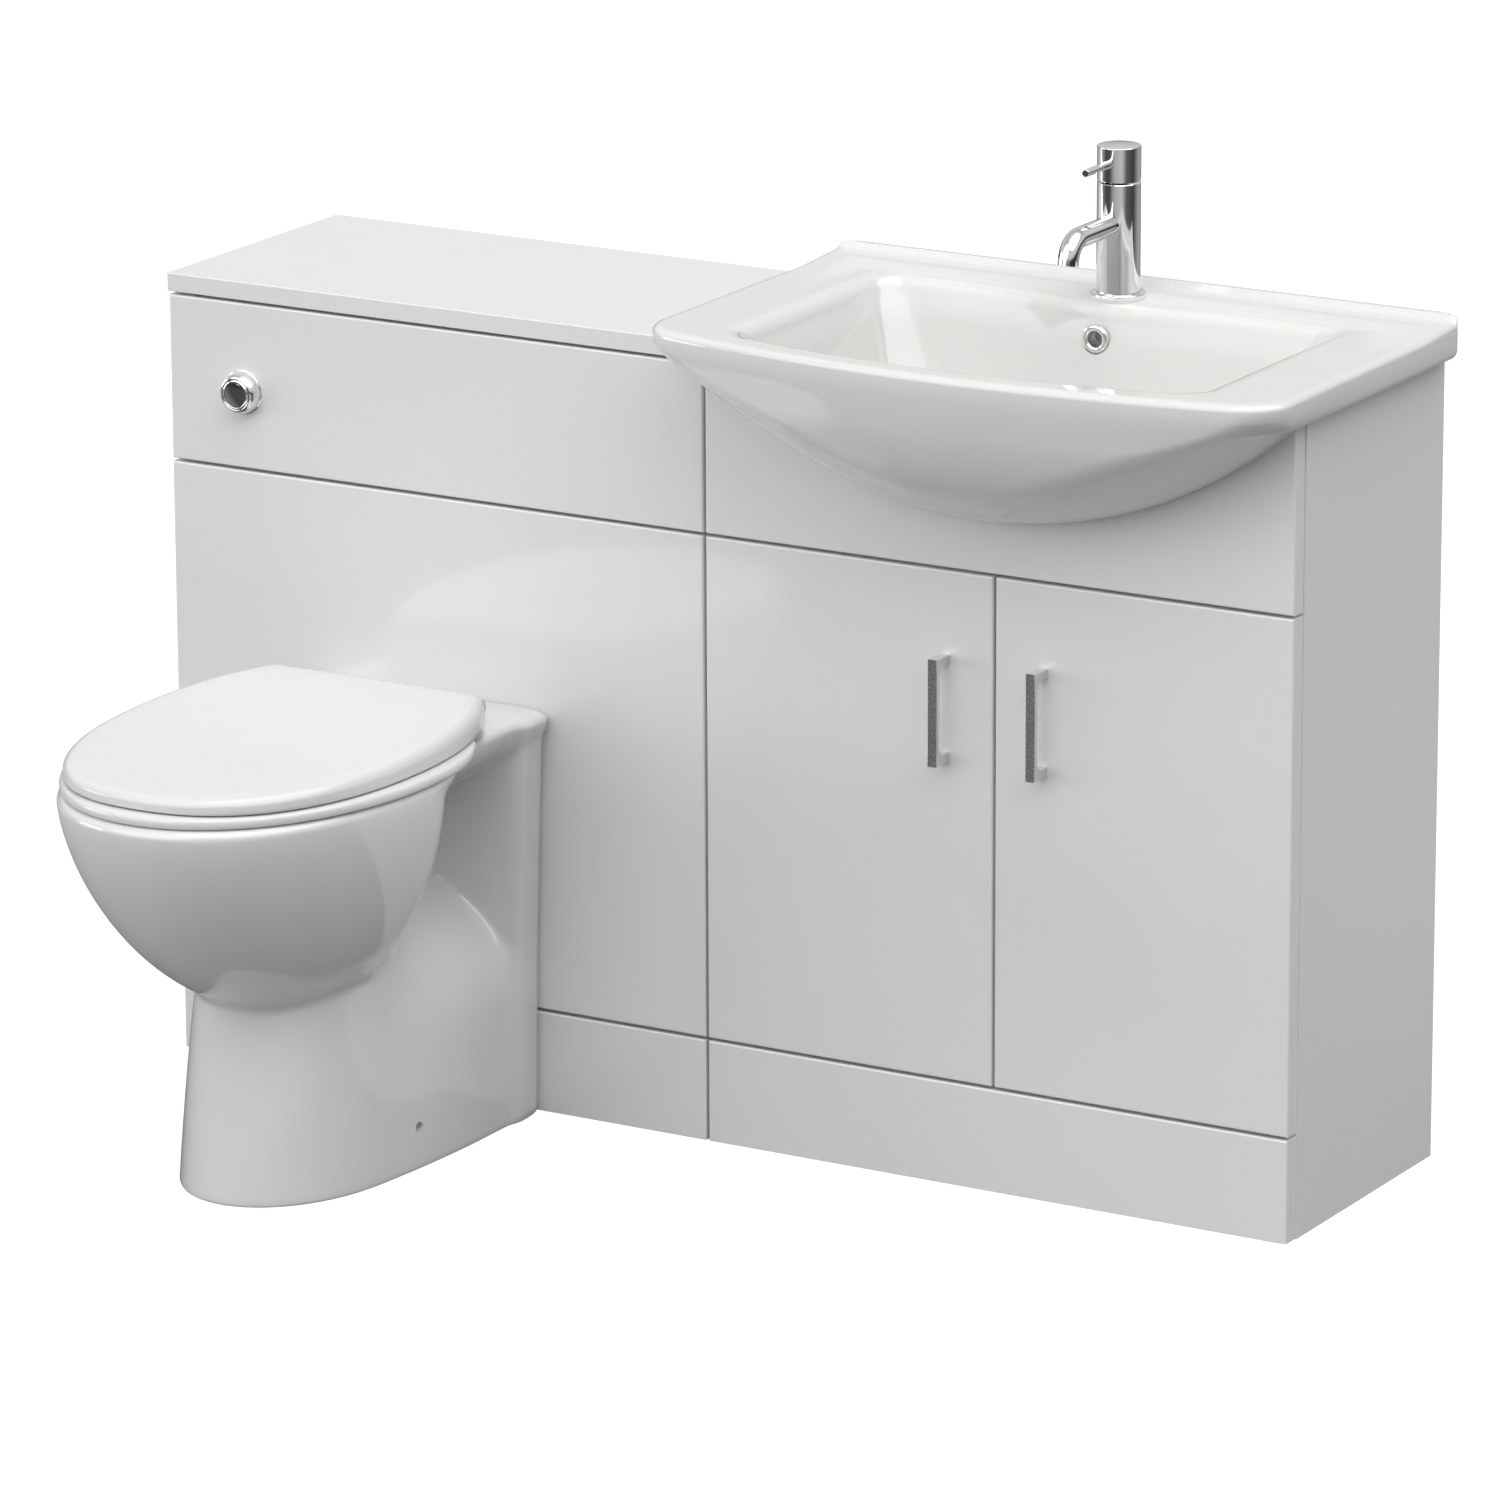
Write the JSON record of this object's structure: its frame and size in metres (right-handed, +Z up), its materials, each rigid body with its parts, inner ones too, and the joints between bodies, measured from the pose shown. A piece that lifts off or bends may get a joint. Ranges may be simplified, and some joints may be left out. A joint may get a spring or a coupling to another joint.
{
  "type": "toilet and basin combination unit",
  "caption": "Back to wall toilet with a boxed in cistern and side flush button, joined to a gloss white cabinet with a semi recessed ceramic basin, lever mixer tap and opening doors",
  "frame": {"origin": "on the floor, at the middle of the whole unit's bounding box seen from above", "axes": "+X to the right seen from the front, along the wall; +Y towards the wall; +Z up"},
  "size_m": [1.24, 0.8301, 0.9575],
  "materials": {
    "board": "high gloss white lacquered board",
    "ceramic": "white glazed vitreous china",
    "seat_plastic": "glossy white moulded seat and lid",
    "buffer": "soft pale buffer",
    "chrome": "polished chrome plating",
    "handle": "dark brushed face with bright sides",
    "steel": "zinc plated steel",
    "inner": "white moulded plumbing plastic",
    "grey": "pale grey moulded plastic",
    "seal": "black rubber"
  },
  "bodies": {
    "unit": {"wc_side_left": "board", "wc_side_right": "board", "wc_worktop": "board", "wc_fascia": "board", "wc_lower_panel": "board", "wc_plinth": "board", "wc_rear_rail": "board", "wc_front_rail": "board", "cab_side_left": "board", "cab_side_right": "board", "cab_base": "board", "cab_back_rail": "board", "cab_front_rail": "board", "cab_fascia": "board", "cab_plinth": "board", "hinge_arms_left": "steel", "hinge_arms_right": "steel", "basin": "ceramic", "overflow_ring": "chrome", "waste_body": "chrome", "waste_nut": "steel", "bottle_trap": "inner", "waste_pipe": "inner", "tap_flange": "chrome", "tap_body": "chrome", "tap_aerator": "steel", "tap_shank": "steel", "tap_nut": "steel", "pan": "ceramic", "seat_hinges": "chrome", "pan_brackets": "steel", "pan_screws": "steel", "cistern_tank": "inner", "cistern_cover": "inner", "fill_valve": "inner", "flush_valve": "inner", "flush_pipe": "inner", "flush_cone": "seal", "soil_pipe": "inner", "button_bezel": "chrome", "button_bellows": "seal"},
    "door_left": {"door_left": "board", "handle_left": "handle", "handle_screws_left": "steel", "hinge_cups_left": "steel"},
    "door_right": {"door_right": "board", "handle_right": "handle", "handle_screws_right": "steel", "hinge_cups_right": "steel"},
    "seat": {"seat": "seat_plastic", "seat_buffers": "buffer"},
    "lid": {"lid": "seat_plastic", "lid_buffers": "buffer"},
    "push_button": {"push_button": "chrome"},
    "flush_plunger": {"flush_plunger": "grey"},
    "fill_float": {"fill_float": "grey"},
    "tap_stem": {"tap_stem": "steel", "tap_pin": "steel"},
    "tap_head": {"tap_head": "chrome"},
    "waste_plug": {"waste_plug": "chrome"}
  },
  "joints": [
    {"name": "door_left_hinge", "type": "hinge", "parent": "unit", "child": "door_left", "pos_m": [-0.0185, 0.115, 0.35], "axis": [0, 0, -1], "range_deg": [0, 95]},
    {"name": "door_right_hinge", "type": "hinge", "parent": "unit", "child": "door_right", "pos_m": [0.5985, 0.115, 0.35], "axis": [0, 0, 1], "range_deg": [0, 95]},
    {"name": "seat_hinge", "type": "hinge", "parent": "unit", "child": "seat", "pos_m": [-0.32, 0.039, 0.419], "axis": [-1, 0, 0], "range_deg": [0, 95]},
    {"name": "lid_hinge", "type": "hinge", "parent": "seat", "child": "lid", "pos_m": [-0.32, 0.039, 0.419], "axis": [1, 0, 0], "range_deg": [-97, 0]},
    {"name": "button_push", "type": "slide", "parent": "unit", "child": "push_button", "axis": [0, 1, 0], "range_m": [0, 0.005], "stiffness_N_per_m": 500, "springref_m": -0.003},
    {"name": "plunger_lift", "type": "slide", "parent": "unit", "child": "flush_plunger", "axis": [0, 0, 1], "range_m": [0, 0.01]},
    {"name": "float_drop", "type": "slide", "parent": "unit", "child": "fill_float", "axis": [0, 0, -1], "range_m": [0, 0.09]},
    {"name": "tap_swivel", "type": "hinge", "parent": "unit", "child": "tap_stem", "pos_m": [0.29, 0.354, 0.9305], "axis": [0, 0, 1], "range_deg": [-45, 45]},
    {"name": "tap_tilt", "type": "hinge", "parent": "tap_stem", "child": "tap_head", "pos_m": [0.29, 0.354, 0.9305], "axis": [-1, 0, 0], "range_deg": [0, 15]},
    {"name": "plug_drop", "type": "slide", "parent": "unit", "child": "waste_plug", "axis": [0, 0, -1], "range_m": [0, 0.003]}
  ],
  "couplings": [
    {"joint": "plunger_lift", "follows": "button_push", "ratio": 2}
  ]
}
